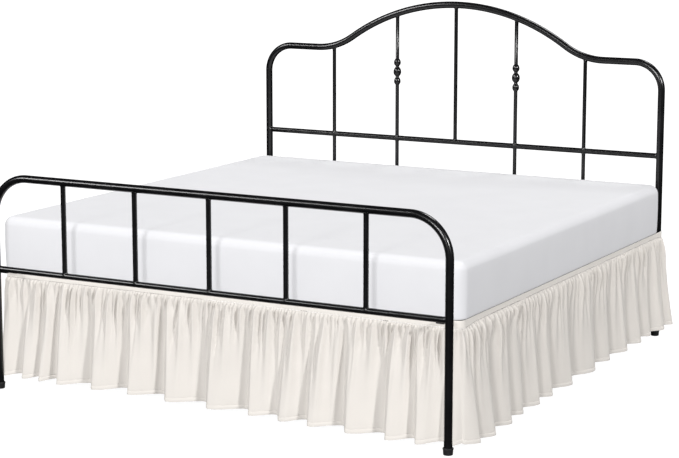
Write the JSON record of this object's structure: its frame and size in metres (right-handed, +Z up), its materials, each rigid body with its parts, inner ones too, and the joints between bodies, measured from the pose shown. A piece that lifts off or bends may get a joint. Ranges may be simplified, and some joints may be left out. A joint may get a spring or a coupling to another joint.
{
  "type": "bed skirt on a metal bed frame with its mattress",
  "caption": "Gathered ivory bed skirt with an elastic band, hanging on the sides and foot of a black tubular metal bed with an arched headboard and a plain white mattress.",
  "frame": {"origin": "on the floor, under the middle of the bed's bounding box", "axes": "+X to the right seen from the foot, +Y from the foot to the head, +Z up"},
  "size_m": [2.1101, 2.1201, 1.412],
  "materials": {
    "skirt_cloth": "ivory woven microfibre, softly matt",
    "skirt_elastic": "ivory elastic casing, softly matt",
    "mattress_cover": "smooth white knitted cover",
    "bed_metal": "semi-gloss black powder coat",
    "foot_caps": "black moulded plastic"
  },
  "bodies": {
    "root": {"centre_cap_1": "foot_caps", "centre_cap_2": "foot_caps", "centre_leg_1": "bed_metal", "centre_leg_2": "bed_metal", "centre_rail": "bed_metal", "end_rail_foot": "bed_metal", "end_rail_head": "bed_metal", "foot_plate_left": "bed_metal", "foot_plate_right": "bed_metal", "footboard_cap_left": "foot_caps", "footboard_cap_right": "foot_caps", "footboard_hoop": "bed_metal", "footboard_rail": "bed_metal", "footboard_spindle_1": "bed_metal", "footboard_spindle_2": "bed_metal", "footboard_spindle_3": "bed_metal", "footboard_spindle_4": "bed_metal", "footboard_spindle_5": "bed_metal", "head_plate_left": "bed_metal", "head_plate_right": "bed_metal", "headboard_cap_left": "foot_caps", "headboard_cap_right": "foot_caps", "headboard_cross_rail": "bed_metal", "headboard_hoop": "bed_metal", "headboard_low_spindle_1": "bed_metal", "headboard_low_spindle_2": "bed_metal", "headboard_low_spindle_4": "bed_metal", "headboard_low_spindle_5": "bed_metal", "headboard_lower_rail": "bed_metal", "headboard_spindle_1": "bed_metal", "headboard_spindle_2": "bed_metal", "headboard_spindle_3": "bed_metal", "headboard_spindle_4": "bed_metal", "headboard_spindle_5": "bed_metal", "mattress": "mattress_cover", "side_rail_left": "bed_metal", "side_rail_right": "bed_metal", "skirt_band": "skirt_elastic", "skirt_ruffle": "skirt_cloth", "slat_1": "bed_metal", "slat_2": "bed_metal", "slat_3": "bed_metal", "slat_4": "bed_metal", "slat_5": "bed_metal", "slat_6": "bed_metal", "slat_7": "bed_metal", "slat_8": "bed_metal", "slat_9": "bed_metal"}
  },
  "joints": []
}
